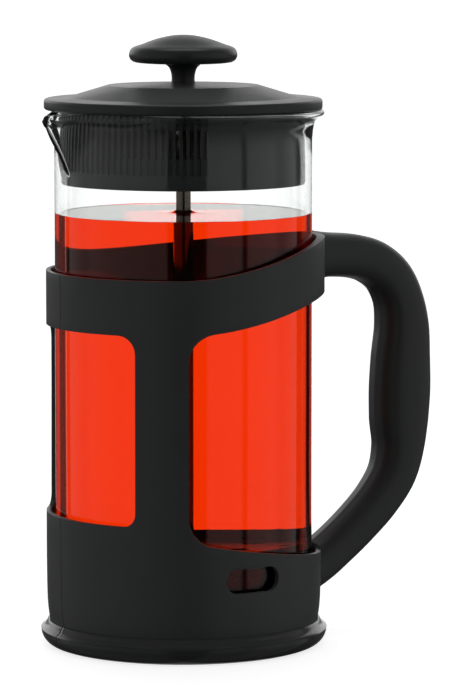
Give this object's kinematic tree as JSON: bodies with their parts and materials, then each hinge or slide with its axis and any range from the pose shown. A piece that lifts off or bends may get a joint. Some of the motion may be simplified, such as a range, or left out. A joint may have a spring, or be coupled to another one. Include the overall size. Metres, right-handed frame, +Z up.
{
  "type": "french press",
  "caption": "French press with a clear glass beaker in a black moulded frame with a loop handle, a lid with a pouring strainer, and a rod plunger with a mesh filter.",
  "frame": {"origin": "beaker axis at table level, on the base's flat underside", "axes": "+Z up along the beaker axis, +X towards the handle, -X towards the pouring spout"},
  "size_m": [0.1666, 0.1092, 0.2315],
  "materials": {
    "holder_plastic": "satin moulded polypropylene",
    "base_plastic": "glossy moulded polypropylene",
    "lid_plastic": "satin moulded polypropylene",
    "skirt_plastic": "smooth moulded polypropylene",
    "clear_glass": "clear borosilicate glass",
    "rod_steel": "polished stainless steel",
    "filter_steel": "pressed stainless steel",
    "mesh_steel": "fine woven stainless wire",
    "insert_brass": "machined brass",
    "screw_steel": "zinc plated steel"
  },
  "bodies": {
    "holder": {"frame": "holder_plastic", "base": "base_plastic", "handle": "holder_plastic", "handle_screw_upper": "screw_steel", "handle_screw_lower": "screw_steel"},
    "beaker": {"glass_beaker": "clear_glass"},
    "guide": {"rod_guide": "skirt_plastic"},
    "lid": {"lid_cap": "lid_plastic", "lid_skirt": "skirt_plastic"},
    "filter": {"spiral_plate": "filter_steel", "filter_coil": "filter_steel", "filter_mesh": "mesh_steel", "cross_plate": "filter_steel"},
    "plunger": {"plunger_rod": "rod_steel", "rod_collar": "rod_steel", "knob": "lid_plastic", "knob_insert": "insert_brass"}
  },
  "joints": [
    {"name": "beaker_lift", "type": "slide", "parent": "holder", "child": "beaker", "axis": [0, 0, 1], "range_m": [0, 0.15]},
    {"name": "lid_lift", "type": "slide", "parent": "beaker", "child": "guide", "axis": [0, 0, 1], "range_m": [0, 0.18]},
    {"name": "lid_turn", "type": "hinge", "parent": "guide", "child": "lid", "pos_m": [0, 0, 0.2055], "axis": [0, 0, 1], "continuous": true},
    {"name": "plunger_slide", "type": "slide", "parent": "guide", "child": "filter", "axis": [0, 0, 1], "range_m": [0, 0.133]},
    {"name": "knob_unscrew", "type": "hinge", "parent": "filter", "child": "plunger", "pos_m": [0, 0, 0.04], "axis": [0, 0, 1], "continuous": true}
  ]
}
